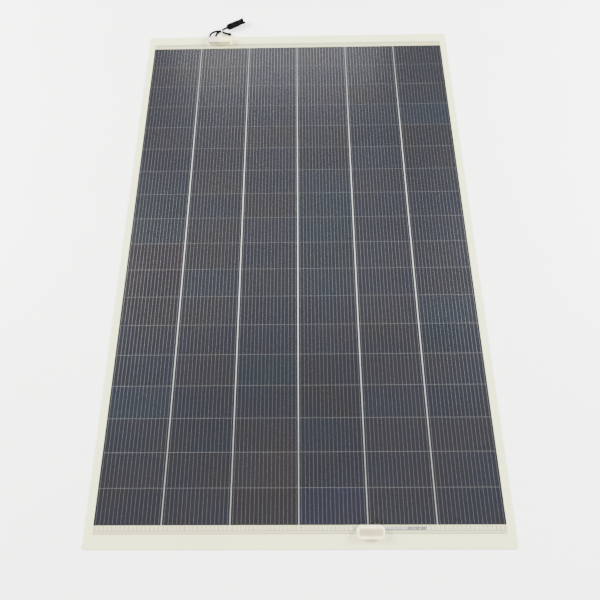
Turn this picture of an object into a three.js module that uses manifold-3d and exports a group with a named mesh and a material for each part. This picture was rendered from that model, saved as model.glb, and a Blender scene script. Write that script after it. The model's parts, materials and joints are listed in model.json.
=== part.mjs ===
// A flexible solar sheet: a thin laminate of half-cut cells with a junction box at each end,
// two output leads and a round latching connector. Millimetres, +Z up, +Y towards the output box.
import * as THREE from "three";
import { mergeVertices } from "three/addons/utils/BufferGeometryUtils.js";
import Module from "manifold-3d";

const wasm = await Module();
wasm.setup();

// ---------------------------------------------------------------- driving dimensions

// Sheet and cells.
const SHEET_WIDTH = 1150;
const SHEET_LENGTH = 1770;
const SHEET_CORNER = 6;
const CELL_WIDTH = 182;
const CELL_LENGTH = 91;
const STRINGS = 6;
const CELLS_PER_STRING = 18;
const STRING_GAP = 3;
const CELL_GAP = 1;
const CELL_LINK_WIDTH = 60;

// Layers, each [bottom, top]; thin gaps keep neighbouring layers apart.
const BACK_SHEET_Z = [0, 1.0];
const REAR_ENCAPSULANT_Z = [1.05, 1.45];
const CELL_Z = [1.5, 1.7];
const COVER_STRIP_Z = [1.75, 1.85];
const FRONT_ENCAPSULANT_Z = [1.9, 2.3];
const FRONT_SHEET_Z = [2.35, 2.7];

// Bus ribbons: the middle of the row is this far outside the outermost cells.
const BUS_OFFSET = 17;
const BUS_WIDTH = 5;
const BUS_END_INSET = 6;
const BUS_SEGMENT_GAP = 4;
const RETURN_OFFSET = 23;
const RETURN_WIDTH = 4;
const COVER_STRIP_MARGIN = 2;
const LEAD_THICKNESS = 0.2;

// Junction boxes.
const FAR_BOX = {
  name: "far_box",
  x: -300.5,
  y: 857.5,
  width: 94,
  depth: 26,
  baseHeight: 10.6,
  lidHeight: 2.6,
  nearCorner: 12,
  farCorner: 5,
};
const NEAR_BOX = {
  name: "near_box",
  x: 191,
  y: -844,
  width: 73,
  depth: 30,
  baseHeight: 7.6,
  lidHeight: 3.6,
  nearCorner: 12,
  farCorner: 12,
};
const PAD_Z = [2.75, 3.35];
const BASE_BOTTOM = 3.4;
const FLOOR_THICKNESS = 1.5;
const WALL_THICKNESS = 2.2;
const LID_EDGE_ROUND = 1.2;
const LID_CLEARANCE = 0.1;
const LIP_THICKNESS = 1.2;
const LIP_DEPTH = 1.5;
const PAD_INSET = 1.5;
const SEAL_CLEARANCE = 0.05;
const SEAL_HEIGHT = 0.45;
const SEAL_WIDTH = 1.0;
const SLOT_WIDTH = 2.2;
const SLOT_SIDE_ROOM = 1;
const GAP = 0.3;
const RISER_TOP = 8.2;

// Inside the boxes.
const FILL_BELOW_RIM = 2;
const TERMINAL_SIZE = 6;
const TERMINAL_THICKNESS = 0.8;
const TERMINAL_FROM_RISER = 5;
const TAB_FROM_MIDDLE = 2;
const DIODE_HALF_LENGTH = 4.5;
const DIODE_RADIUS = 1.6;
const DIODE_WIRE_RADIUS = 0.5;
const DIODE_ROOM = 4;
const LEAD_ROOM_WIDTH = 8.4;
const LEAD_ROOM_LENGTH = 14;

// Leads, glands and the tie round the leads.
const LEAD_DIAMETER = 7.2;
const LEAD_SIDES = 10;
const GLAND_BORE = 3.9;
const GLAND_PLUG_RADIUS = 4.3;
const GLAND_HOLE_RADIUS = 4.5;
const GLAND_HOLE_LENGTH = 5;
const GLAND_AXIS_Z = 8.6;
const NEGATIVE_GLAND_X = -340;
const POSITIVE_GLAND_X = -316;
const GLAND_MOUTH_Y = 880.5;
const END_CAP_RADIUS = 4.8;
const END_CAP_LENGTH = 13;
const END_CAP_NOSE = 4;
const TIE_X = -294.5;
const TIE_WIDTH = 3.6;
const TIE_THICKNESS = 0.8;
const TIE_MIDDLE_Y = 907.5;
const TIE_BOTTOM = 1.0;
const TIE_INNER_WIDTH = 11.6;
const TIE_INNER_HEIGHT = 15.2;
const TIE_INNER_CORNER = 2.5;
const TIE_HEAD = { depth: 5.4, offset: 1, from: 0.2, to: 4.0 };
const TIE_TAIL = { depth: 8, offset: 7, from: 1.8, to: 2.8 };

// Connector: its axis starts at the rear of the nut and runs along the last stretch of the lead.
const CONNECTOR_REAR = [-274.3, 922.7, 10.5];
const CONNECTOR_YAW = THREE.MathUtils.degToRad(29);
const NUT_LENGTH = 26;
const NUT_RADIUS = 10.3;
const BODY_RADIUS = 10.1;
const BODY_END = 50;
const BARREL_RADIUS = 7.0;
const BARREL_BORE = 5.2;
const BARREL_END = 71;
const SLEEVE_BORE = 6.8;
const SLEEVE_RADIUS = 7.9;
const NUT_FLUTES = 12;
const FLUTE_FLOOR = 9.4;
const GRIP_START = 7;
const GRIP_LENGTH = 16.5;
const RING_PLACE = 59;
const RING_GROOVE_WIDTH = 1.6;
const RING_GROOVE_RADIUS = 6.2;
const RING_RADIUS = 6.8;
const LATCH_HEIGHT = 7.5;
const LATCH_POCKET_FLOOR = 7.2;
const LATCH_POCKET_LENGTH = 14.4;
const LATCH_POCKET_MIDDLE = 45;

const TURNED_SIDES = 18;

// Positive lead: from its terminal, out of the gland, over the other lead and into the nut.
const POSITIVE_ROUTE = [
  [-316, 862, 8.6],
  [-316, 869, 8.6],
  [-316, 875, 8.6],
  [-316, 881.5, 8.6],
  [-315.2, 887.4, 8.9],
  [-312.8, 893.0, 9.7],
  [-309.0, 897.9, 10.8],
  [-303.6, 901.9, 11.8],
  [-296.6, 906.0, 12.2],
  [-291.0, 909.4, 12.2],
  [-285.5, 914.0, 11.6],
  [-279.8, 918.9, 10.8],
  [-274.3, 922.7, 10.5],
  [-267.3, 926.6, 10.5],
  [-256.8, 932.4, 10.5],
];

// Negative lead: from its terminal, down to the floor, round under the other lead to its end cap.
const NEGATIVE_ROUTE = [
  [-340, 862, 8.6],
  [-340, 869, 8.6],
  [-340, 875, 8.6],
  [-340, 882.0, 8.6],
  [-339.0, 889.3, 8.4],
  [-336.0, 896.2, 7.8],
  [-331.2, 902.2, 6.9],
  [-325.0, 907.0, 5.9],
  [-317.8, 910.2, 5.1],
  [-310.0, 911.4, 4.8],
  [-302.2, 910.7, 4.7],
  [-294.9, 907.9, 4.8],
  [-287.8, 904.1, 4.8],
  [-281.0, 900.7, 4.8],
  [-275.0, 898.0, 4.9],
  [-268.8, 895.9, 5.0],
  [-262.2, 894.2, 5.0],
];

// Places that follow from the dimensions above.
const MATRIX_WIDTH = STRINGS * CELL_WIDTH + (STRINGS - 1) * STRING_GAP;
const MATRIX_LENGTH = CELLS_PER_STRING * CELL_LENGTH + (CELLS_PER_STRING - 1) * CELL_GAP;
const STRING_PITCH = CELL_WIDTH + STRING_GAP;
const CELL_PITCH = CELL_LENGTH + CELL_GAP;
const FAR_BUS_Y = MATRIX_LENGTH / 2 + BUS_OFFSET;
const NEAR_BUS_Y = -MATRIX_LENGTH / 2 - BUS_OFFSET;
const RETURN_Y = MATRIX_LENGTH / 2 + RETURN_OFFSET;
const NEAR_LEAD_WIDTH = 8;
const NEAR_LEAD_Y = -MATRIX_LENGTH / 2 - 8;

// Each bus lead is a flat run at the cells' level that ends in a riser into its box.
const BUS_LEADS = [
  { name: "far_box_bus_lead", from: -404, riserX: -330, y: RETURN_Y, width: RETURN_WIDTH },
  { name: "far_return_ribbon", from: 470, riserX: -276, y: RETURN_Y, width: RETURN_WIDTH },
  { name: "near_box_bus_lead_left", from: 146, riserX: 174, y: NEAR_LEAD_Y, width: NEAR_LEAD_WIDTH },
  { name: "near_box_bus_lead_right", from: 341, riserX: 208, y: NEAR_LEAD_Y, width: NEAR_LEAD_WIDTH },
];

// ---------------------------------------------------------------- materials

function finish(colour, roughness, metalness) {
  return new THREE.MeshStandardMaterial({ color: colour, roughness, metalness });
}

const COLOURS = {
  film: [0xe6e8e0, 0.25, 0],
  encapsulant: [0xe4e6dc, 0.4, 0],
  laminate: [0xe2e4d6, 0.55, 0],
  cell: [0x2b2f3a, 0.3, 0],
  ribbon: [0xb9bcc0, 0.35, 1],
  strip: [0xe9ebe4, 0.6, 0],
  ivory: [0xe9e4d2, 0.4, 0],
  foam: [0x3a3a3a, 0.9, 0],
  rubber: [0x18181a, 0.7, 0],
  plastic: [0x121214, 0.45, 0],
  gel: [0xd9d6c8, 0.35, 0],
  copper: [0xc8a070, 0.3, 1],
  diode: [0x1c1c20, 0.4, 0],
  tie: [0xe8ecc4, 0.45, 0],
};

const part = new THREE.Group();

function add(name, geometry, colour, parent = part) {
  const mesh = new THREE.Mesh(geometry, finish(...COLOURS[colour]));
  mesh.name = name;
  parent.add(mesh);
  return mesh;
}

// ---------------------------------------------------------------- geometry helpers

function toSolid(geometry) {
  const bare = geometry.clone();
  bare.deleteAttribute("normal");
  bare.deleteAttribute("uv");
  const merged = mergeVertices(bare, 1e-4);
  const mesh = new wasm.Mesh({
    numProp: 3,
    vertProperties: merged.attributes.position.array,
    triVerts: new Uint32Array(merged.index.array),
  });
  return new wasm.Manifold(mesh);
}

function toGeometry(solid) {
  const mesh = solid.getMesh();
  const geometry = new THREE.BufferGeometry();
  geometry.setAttribute("position", new THREE.BufferAttribute(mesh.vertProperties, 3));
  geometry.setIndex(new THREE.BufferAttribute(mesh.triVerts, 1));
  geometry.computeVertexNormals();
  return geometry;
}

// A rectangle with round corners; the two on the +Y side may have a radius of their own.
function roundedOutline(target, x, y, width, depth, radius, farRadius = radius) {
  const left = x - width / 2;
  const right = x + width / 2;
  const low = y - depth / 2;
  const high = y + depth / 2;
  target.moveTo(left + radius, low);
  target.lineTo(right - radius, low);
  target.absarc(right - radius, low + radius, radius, -Math.PI / 2, 0);
  target.lineTo(right, high - farRadius);
  target.absarc(right - farRadius, high - farRadius, farRadius, 0, Math.PI / 2);
  target.lineTo(left + farRadius, high);
  target.absarc(left + farRadius, high - farRadius, farRadius, Math.PI / 2, Math.PI);
  target.lineTo(left, low + radius);
  target.absarc(left + radius, low + radius, radius, Math.PI, 1.5 * Math.PI);
  return target;
}

// Extrudes a flat outline between two heights.
function slab(shape, [bottom, top], curveSegments = 4) {
  const options = { depth: top - bottom, bevelEnabled: false, curveSegments };
  return new THREE.ExtrudeGeometry(shape, options).translate(0, 0, bottom);
}

function block(x, y, width, depth, [bottom, top]) {
  const middle = (bottom + top) / 2;
  return new THREE.BoxGeometry(width, depth, top - bottom).translate(x, y, middle);
}

// A solid of revolution about Y; the outline runs through [along, radius] pairs and closes itself.
function turnedAboutY(outline, sides = TURNED_SIDES) {
  const points = outline.map(([along, radius]) => new THREE.Vector2(radius, along));
  if (THREE.ShapeUtils.area(points) < 0) points.reverse();
  points.push(points[0].clone());
  return new THREE.LatheGeometry(points, sides);
}

// The same about X.
function turned(outline, sides = TURNED_SIDES) {
  return turnedAboutY(outline, sides).rotateZ(-Math.PI / 2);
}

// The point a given part of a full turn round a circle.
function onCircle(radius, turn) {
  const angle = 2 * Math.PI * turn;
  return new THREE.Vector2(radius * Math.cos(angle), radius * Math.sin(angle));
}

function tubeAlong(route, diameter, sides, steps) {
  const curve = new THREE.CatmullRomCurve3(
    route.map((point) => new THREE.Vector3(...point)),
    false,
    "centripetal",
  );
  const points = [];
  for (let side = 0; side < sides; side += 1) points.push(onCircle(diameter / 2, side / sides));
  const section = new THREE.Shape(points);
  return new THREE.ExtrudeGeometry(section, { steps, bevelEnabled: false, extrudePath: curve });
}

function slotThrough(lead, span) {
  return toSolid(block(lead.riserX, lead.y, SLOT_WIDTH, lead.width + SLOT_SIDE_ROOM, span));
}

function cutAll(solid, cutters) {
  return cutters.reduce((left, cutter) => left.subtract(cutter), solid);
}

// ---------------------------------------------------------------- laminate

function sheetOutline(inset) {
  const width = SHEET_WIDTH - 2 * inset;
  const length = SHEET_LENGTH - 2 * inset;
  return roundedOutline(new THREE.Shape(), 0, 0, width, length, SHEET_CORNER);
}

// A layer over the cells, with a slot for each bus lead's riser.
function slottedLayer(inset, span) {
  const slots = BUS_LEADS.map((lead) => slotThrough(lead, [span[0] - 1, span[1] + 1]));
  return toGeometry(cutAll(toSolid(slab(sheetOutline(inset), span)), slots));
}

function addLayers() {
  add("back_sheet", slab(sheetOutline(0), BACK_SHEET_Z), "laminate");
  add("rear_encapsulant", slab(sheetOutline(1), REAR_ENCAPSULANT_Z), "encapsulant");
  add("front_encapsulant", slottedLayer(1, FRONT_ENCAPSULANT_Z), "encapsulant");
  add("front_sheet", slottedLayer(0, FRONT_SHEET_Z), "film");
}

// One string: eighteen cells in a row, joined by the narrow band of wires between them.
function stringOutline(middleX) {
  const shape = new THREE.Shape();
  const half = CELL_WIDTH / 2;
  const linkHalf = CELL_LINK_WIDTH / 2;
  const start = -MATRIX_LENGTH / 2;
  shape.moveTo(middleX + half, start);
  for (let cell = 0; cell < CELLS_PER_STRING; cell += 1) {
    const low = start + cell * CELL_PITCH;
    const high = low + CELL_LENGTH;
    if (cell > 0) {
      shape.lineTo(middleX + linkHalf, low);
      shape.lineTo(middleX + half, low);
    }
    shape.lineTo(middleX + half, high);
    if (cell < CELLS_PER_STRING - 1) shape.lineTo(middleX + linkHalf, high);
  }
  for (let cell = CELLS_PER_STRING - 1; cell >= 0; cell -= 1) {
    const low = start + cell * CELL_PITCH;
    const high = low + CELL_LENGTH;
    if (cell < CELLS_PER_STRING - 1) shape.lineTo(middleX - linkHalf, high);
    shape.lineTo(middleX - half, high);
    shape.lineTo(middleX - half, low);
    if (cell > 0) shape.lineTo(middleX - linkHalf, low);
  }
  shape.closePath();
  return shape;
}

function addStrings() {
  for (let string = 0; string < STRINGS; string += 1) {
    const middleX = (string - (STRINGS - 1) / 2) * STRING_PITCH;
    add(`cell_string_${string + 1}`, slab(stringOutline(middleX), CELL_Z), "cell");
  }
}

// A ribbon over the strings from first to last, counted from 0.
function addBusRibbon(name, first, last, y) {
  const left = (first - STRINGS / 2) * STRING_PITCH + BUS_SEGMENT_GAP / 2;
  const right = (last + 1 - STRINGS / 2) * STRING_PITCH - BUS_SEGMENT_GAP / 2;
  const from = first === 0 ? left + BUS_END_INSET : left;
  const to = last === STRINGS - 1 ? right - BUS_END_INSET : right;
  add(name, block((from + to) / 2, y, to - from, BUS_WIDTH, CELL_Z), "ribbon");
}

function addBuses() {
  addBusRibbon("far_bus_ribbon_1", 0, 0, FAR_BUS_Y);
  addBusRibbon("far_bus_ribbon_2", 1, 2, FAR_BUS_Y);
  addBusRibbon("far_bus_ribbon_3", 3, 4, FAR_BUS_Y);
  addBusRibbon("far_bus_ribbon_4", 5, 5, FAR_BUS_Y);
  addBusRibbon("near_bus_ribbon_1", 0, 1, NEAR_BUS_Y);
  addBusRibbon("near_bus_ribbon_2", 2, 3, NEAR_BUS_Y);
  addBusRibbon("near_bus_ribbon_3", 4, 5, NEAR_BUS_Y);
}

// White strips that hide the bus ribbons; the far one stops short of the risers' slots.
function addCoverStrips() {
  const length = MATRIX_WIDTH - BUS_END_INSET;
  const depth = BUS_WIDTH + 2 * COVER_STRIP_MARGIN;
  add("near_bus_cover_strip", block(0, NEAR_BUS_Y, length, depth, COVER_STRIP_Z), "strip");
  const farDepth = BUS_WIDTH + COVER_STRIP_MARGIN;
  const farY = FAR_BUS_Y - COVER_STRIP_MARGIN / 2;
  add("far_bus_cover_strip", block(0, farY, length, farDepth, COVER_STRIP_Z), "strip");
}

// A flat run along X at the cells' level, turned up into a riser.
function addBusLead({ name, from, riserX, y, width }) {
  const towards = Math.sign(riserX - from);
  const outline = new THREE.Shape();
  outline.moveTo(from, CELL_Z[0]);
  outline.lineTo(riserX + (towards * LEAD_THICKNESS) / 2, CELL_Z[0]);
  outline.lineTo(riserX + (towards * LEAD_THICKNESS) / 2, RISER_TOP);
  outline.lineTo(riserX - (towards * LEAD_THICKNESS) / 2, RISER_TOP);
  outline.lineTo(riserX - (towards * LEAD_THICKNESS) / 2, CELL_Z[0] + LEAD_THICKNESS);
  outline.lineTo(from, CELL_Z[0] + LEAD_THICKNESS);
  outline.closePath();
  const run = new THREE.ExtrudeGeometry(outline, { depth: width, bevelEnabled: false });
  run.rotateX(Math.PI / 2).translate(0, y + width / 2, 0);
  add(name, run, "ribbon");
}

// ---------------------------------------------------------------- junction boxes

function leadsOf(box) {
  const end = box.name.split("_")[0];
  return BUS_LEADS.filter((lead) => lead.name.startsWith(end)).sort((a, b) => a.riserX - b.riserX);
}

function slotsThrough(box, span) {
  return leadsOf(box).map((lead) => slotThrough(lead, span));
}

// The box's own outline, moved inwards all round.
function boxOutline(box, inset, target = new THREE.Shape()) {
  const width = box.width - 2 * inset;
  const depth = box.depth - 2 * inset;
  const { nearCorner, farCorner } = box;
  return roundedOutline(target, box.x, box.y, width, depth, nearCorner - inset, farCorner - inset);
}

// A wall of even thickness that follows the box's outline.
function boxRing(box, outerInset, innerInset, span) {
  const ring = boxOutline(box, outerInset);
  ring.holes.push(boxOutline(box, innerInset, new THREE.Path()));
  return slab(ring, span);
}

// The lid's plate, with its top edge rounded.
function lidPlate(box, [bottom, top]) {
  const round = LID_EDGE_ROUND;
  const whole = new THREE.ExtrudeGeometry(boxOutline(box, round), {
    depth: top - bottom,
    bevelEnabled: true,
    bevelThickness: round,
    bevelSize: round,
    bevelSegments: 3,
    curveSegments: 4,
  }).translate(0, 0, bottom - round);
  const below = block(box.x, box.y, box.width + 10, box.depth + 10, [bottom - 2 * round, bottom]);
  return toSolid(whole).subtract(toSolid(below));
}

function addJunctionBox(box, glandXs) {
  const { name } = box;
  const baseTop = BASE_BOTTOM + box.baseHeight;
  const floorTop = BASE_BOTTOM + FLOOR_THICKNESS;
  const farFace = box.y + box.depth / 2;

  const pad = toSolid(slab(boxOutline(box, PAD_INSET), PAD_Z));
  const padSlots = slotsThrough(box, [PAD_Z[0] - 1, PAD_Z[1] + 1]);
  add(`${name}_adhesive_pad`, toGeometry(cutAll(pad, padSlots)), "foam");

  const body = toSolid(slab(boxOutline(box, 0), [BASE_BOTTOM, baseTop], 6));
  const cavity = toSolid(slab(boxOutline(box, WALL_THICKNESS), [floorTop, baseTop + 1]));
  const bores = glandXs.map((glandX) => {
    const bore = new THREE.CylinderGeometry(
      GLAND_HOLE_RADIUS,
      GLAND_HOLE_RADIUS,
      GLAND_HOLE_LENGTH,
      TURNED_SIDES,
    );
    return toSolid(bore.translate(glandX, farFace - 1, GLAND_AXIS_Z));
  });
  const floorSlots = slotsThrough(box, [BASE_BOTTOM - 1, floorTop + 1]);
  add(`${name}_base`, toGeometry(cutAll(body, [cavity, ...bores, ...floorSlots])), "ivory");

  const sealBottom = baseTop + SEAL_CLEARANCE;
  const sealTop = sealBottom + SEAL_HEIGHT;
  const sealInset = WALL_THICKNESS - SEAL_WIDTH;
  add(`${name}_lid_seal`, boxRing(box, sealInset, WALL_THICKNESS, [sealBottom, sealTop]), "rubber");

  const lidBottom = baseTop + LID_CLEARANCE;
  const pocketTop = sealTop + SEAL_CLEARANCE;
  const pocket = slab(boxOutline(box, sealInset - GAP), [lidBottom - 1, pocketTop]);
  const lipOuter = WALL_THICKNESS + GAP;
  const lip = boxRing(box, lipOuter, lipOuter + LIP_THICKNESS, [baseTop - LIP_DEPTH, pocketTop + 0.2]);
  const plate = lidPlate(box, [lidBottom, lidBottom + box.lidHeight]);
  add(`${name}_lid`, toGeometry(plate.subtract(toSolid(pocket)).add(toSolid(lip))), "ivory");

  addBoxInside(box, glandXs, [floorTop, baseTop - FILL_BELOW_RIM]);
}

// A bent strip: a foot on the floor and a tab that stands beside the riser.
function terminalGeometry(middle, inward, y, standing, top) {
  const half = TERMINAL_SIZE / 2;
  const footTop = standing + TERMINAL_THICKNESS;
  const tabMiddle = middle - inward * TAB_FROM_MIDDLE;
  const outline = new THREE.Shape();
  outline.moveTo(middle - half, standing);
  outline.lineTo(middle + half, standing);
  outline.lineTo(middle + half, footTop);
  outline.lineTo(tabMiddle + TERMINAL_THICKNESS / 2, footTop);
  outline.lineTo(tabMiddle + TERMINAL_THICKNESS / 2, top);
  outline.lineTo(tabMiddle - TERMINAL_THICKNESS / 2, top);
  outline.lineTo(tabMiddle - TERMINAL_THICKNESS / 2, footTop);
  outline.lineTo(middle - half, footTop);
  outline.closePath();
  const clip = new THREE.ExtrudeGeometry(outline, { depth: TERMINAL_SIZE, bevelEnabled: false });
  return clip.rotateX(Math.PI / 2).translate(0, y + half, 0);
}

// Terminals, diode and potting. Each terminal stands beside its riser.
function addBoxInside(box, glandXs, [floorTop, fillTop]) {
  const { name, x, y, depth } = box;
  const leads = leadsOf(box);
  const through = [floorTop - 1, fillTop + 1];
  const pockets = slotsThrough(box, through);
  const standing = floorTop + GAP;
  const terminalX = [];
  leads.forEach((lead, side) => {
    const inward = Math.sign(x - lead.riserX);
    const middle = lead.riserX + inward * TERMINAL_FROM_RISER;
    const label = side === 0 ? "left" : "right";
    const clip = terminalGeometry(middle, inward, lead.y, standing, fillTop - GAP);
    add(`${name}_terminal_${label}`, clip, "copper");
    const room = TERMINAL_SIZE + 2 * GAP;
    pockets.push(toSolid(block(middle, lead.y, room, room, through)));
    terminalX.push(middle);
  });

  const bodyX = (terminalX[0] + terminalX[1]) / 2;
  const wireReach = (terminalX[1] - terminalX[0]) / 2 - TERMINAL_FROM_RISER;
  const diode = turned(
    [
      [-wireReach, 0],
      [-wireReach, DIODE_WIRE_RADIUS],
      [-DIODE_HALF_LENGTH, DIODE_WIRE_RADIUS],
      [-DIODE_HALF_LENGTH, DIODE_RADIUS],
      [DIODE_HALF_LENGTH, DIODE_RADIUS],
      [DIODE_HALF_LENGTH, DIODE_WIRE_RADIUS],
      [wireReach, DIODE_WIRE_RADIUS],
      [wireReach, 0],
    ],
    12,
  );
  const diodeZ = standing + DIODE_RADIUS + GAP;
  add(`${name}_diode`, diode.translate(bodyX, leads[0].y, diodeZ), "diode");
  pockets.push(toSolid(block(bodyX, leads[0].y, 2 * wireReach + 1, DIODE_ROOM, through)));

  for (const glandX of glandXs) {
    const roomY = y + (depth - LEAD_ROOM_LENGTH) / 2 + 1;
    pockets.push(toSolid(block(glandX, roomY, LEAD_ROOM_WIDTH, LEAD_ROOM_LENGTH, through)));
  }
  const fill = toSolid(slab(boxOutline(box, WALL_THICKNESS + GAP), [floorTop + SEAL_CLEARANCE, fillTop]));
  add(`${name}_potting`, toGeometry(cutAll(fill, pockets)), "gel");
}

// A strain relief: a plug through the wall, a collar against it and a ringed taper outside.
function addGland(name, glandX) {
  const wall = FAR_BOX.y + FAR_BOX.depth / 2;
  const outline = [
    [wall - WALL_THICKNESS, GLAND_BORE],
    [wall - WALL_THICKNESS, GLAND_PLUG_RADIUS],
    [wall + GAP, GLAND_PLUG_RADIUS],
    [wall + GAP, 5.6],
    [wall + 2.4, 5.6],
    [wall + 2.8, 5.1],
    [wall + 4.0, 5.1],
    [wall + 4.4, 5.4],
    [wall + 5.8, 5.3],
    [wall + 6.2, 4.8],
    [wall + 7.2, 4.8],
    [wall + 7.6, 5.1],
    [GLAND_MOUTH_Y - 0.3, 4.9],
    [GLAND_MOUTH_Y, 4.6],
    [GLAND_MOUTH_Y, GLAND_BORE],
  ];
  add(name, turnedAboutY(outline).translate(glandX, 0, GLAND_AXIS_Z), "rubber");
}

// ---------------------------------------------------------------- leads and connector

function addEndCap() {
  const last = new THREE.Vector3(...NEGATIVE_ROUTE.at(-1));
  const before = new THREE.Vector3(...NEGATIVE_ROUTE.at(-2));
  const along = last.clone().sub(before).setZ(0).normalize();
  const open = END_CAP_NOSE - END_CAP_LENGTH;
  const bore = LEAD_DIAMETER / 2 + GAP + 0.05;
  const cap = turned(
    [
      [GAP, 0],
      [GAP, bore],
      [open, bore],
      [open, END_CAP_RADIUS - 0.3],
      [open + 0.5, END_CAP_RADIUS],
      [END_CAP_NOSE - 1, END_CAP_RADIUS],
      [END_CAP_NOSE, END_CAP_RADIUS - 1],
      [END_CAP_NOSE, 0],
    ],
  );
  const holder = new THREE.Group();
  holder.position.copy(last);
  holder.rotation.z = Math.atan2(along.y, along.x);
  part.add(holder);
  add("negative_lead_end_cap", cap, "rubber", holder);
}

// Turns an extrusion so that its outline's x and y become Y and Z, and its depth runs along X.
function standUp(geometry) {
  const across = new THREE.Vector3(0, 1, 0);
  const up = new THREE.Vector3(0, 0, 1);
  const along = new THREE.Vector3(1, 0, 0);
  return geometry.applyMatrix4(new THREE.Matrix4().makeBasis(across, up, along));
}

// A strap loop round both leads, with its head on top and a short tail.
function addCableTie() {
  const middleZ = TIE_BOTTOM + TIE_INNER_HEIGHT / 2;
  const width = TIE_INNER_WIDTH + 2 * TIE_THICKNESS;
  const height = TIE_INNER_HEIGHT + 2 * TIE_THICKNESS;
  const corner = TIE_INNER_CORNER + TIE_THICKNESS;
  const loop = roundedOutline(new THREE.Shape(), TIE_MIDDLE_Y, middleZ, width, height, corner);
  const inside = new THREE.Path();
  roundedOutline(inside, TIE_MIDDLE_Y, middleZ, TIE_INNER_WIDTH, TIE_INNER_HEIGHT, TIE_INNER_CORNER);
  loop.holes.push(inside);
  const options = { depth: TIE_WIDTH, bevelEnabled: false, curveSegments: 4 };
  const strap = standUp(new THREE.ExtrudeGeometry(loop, options)).translate(TIE_X - TIE_WIDTH / 2, 0, 0);
  const top = TIE_BOTTOM + TIE_INNER_HEIGHT;
  const lump = (width, { depth, offset, from, to }) =>
    toSolid(block(TIE_X, TIE_MIDDLE_Y + offset, width, depth, [top + from, top + to]));
  const tie = toSolid(strap).add(lump(TIE_WIDTH + 2, TIE_HEAD)).add(lump(TIE_WIDTH, TIE_TAIL));
  add("cable_tie", toGeometry(tie), "tie");
}

// The nut: a domed rear end and a fluted grip round a hollow bore.
function nutGeometry() {
  const dome = turned([
    [0, GLAND_BORE],
    [7, GLAND_BORE],
    [9, 8.3],
    [NUT_LENGTH, 8.3],
    [NUT_LENGTH, 9.5],
    [6, 9.5],
    [3, 9.0],
    [1, 7.4],
    [0, 6.1],
  ]);
  const fluteSteps = [[0.1, NUT_RADIUS], [0.55, NUT_RADIUS], [0.7, FLUTE_FLOOR], [0.95, FLUTE_FLOOR]];
  const points = [];
  for (let flute = 0; flute < NUT_FLUTES; flute += 1) {
    for (const [turn, radius] of fluteSteps) {
      points.push(onCircle(radius, (flute + turn) / NUT_FLUTES));
    }
  }
  const grip = new THREE.Shape(points);
  const hollow = new THREE.Path();
  hollow.absarc(0, 0, 8.8, 0, 2 * Math.PI, true);
  grip.holes.push(hollow);
  const options = { depth: GRIP_LENGTH, bevelEnabled: false, curveSegments: 9 };
  const sleeve = standUp(new THREE.ExtrudeGeometry(grip, options)).translate(GRIP_START, 0, 0);
  return toGeometry(toSolid(dome).add(toSolid(sleeve)));
}

// The housing: a rear sleeve for the seal, a round body and the front barrel.
function housingGeometry() {
  const shell = turned([
    [13, SLEEVE_BORE],
    [22, SLEEVE_BORE],
    [22, 2.3],
    [30, 2.3],
    [30, BARREL_BORE],
    [BARREL_END, BARREL_BORE],
    [BARREL_END, BARREL_RADIUS],
    [RING_PLACE + RING_GROOVE_WIDTH / 2, BARREL_RADIUS],
    [RING_PLACE + RING_GROOVE_WIDTH / 2, RING_GROOVE_RADIUS],
    [RING_PLACE - RING_GROOVE_WIDTH / 2, RING_GROOVE_RADIUS],
    [RING_PLACE - RING_GROOVE_WIDTH / 2, BARREL_RADIUS],
    [BODY_END, BARREL_RADIUS],
    [BODY_END, BODY_RADIUS - 0.6],
    [BODY_END - 1, BODY_RADIUS],
    [NUT_LENGTH + 1, BODY_RADIUS],
    [NUT_LENGTH + GAP, BODY_RADIUS - 0.6],
    [NUT_LENGTH + GAP, SLEEVE_RADIUS],
    [13, SLEEVE_RADIUS],
  ]);
  let housing = toSolid(shell);
  for (const side of [-1, 1]) {
    const depth = BODY_RADIUS - LATCH_POCKET_FLOOR + 1;
    const height = LATCH_HEIGHT + 2 * GAP;
    const pocket = new THREE.BoxGeometry(LATCH_POCKET_LENGTH, depth, height);
    pocket.translate(LATCH_POCKET_MIDDLE, side * (LATCH_POCKET_FLOOR + depth / 2), 0);
    housing = housing.subtract(toSolid(pocket));
  }
  return toGeometry(housing);
}

// One springy arm, on side 1 or -1: a root in the housing's pocket, a neck and a barbed tip.
function latchGeometry(side) {
  const outline = new THREE.Shape();
  outline.moveTo(38.5, 7.9);
  outline.lineTo(50, 7.9);
  outline.lineTo(54, 8.2);
  outline.lineTo(60, 8.7);
  outline.lineTo(66, 9.2);
  outline.lineTo(75.5, 9.2);
  outline.lineTo(74, 11.2);
  outline.lineTo(68.5, 12.8);
  outline.lineTo(66.5, 11.6);
  outline.lineTo(62, 10.8);
  outline.lineTo(54, 10.1);
  outline.lineTo(38.5, 9.7);
  outline.closePath();
  const arm = new THREE.ExtrudeGeometry(outline, { depth: LATCH_HEIGHT, bevelEnabled: false });
  arm.translate(0, 0, -LATCH_HEIGHT / 2);
  if (side < 0) arm.rotateX(Math.PI);
  return arm;
}

// A rubber ring of round section.
function ringGeometry(along, ringRadius, sectionRadius) {
  const outline = [];
  const sides = 8;
  for (let side = 0; side < sides; side += 1) {
    const point = onCircle(sectionRadius, -side / sides);
    outline.push([along + point.x, ringRadius + point.y]);
  }
  return turned(outline);
}

function collarOutline(from, to, inner, outer) {
  return [
    [from, inner],
    [from, outer],
    [to, outer],
    [to, inner],
  ];
}

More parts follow.
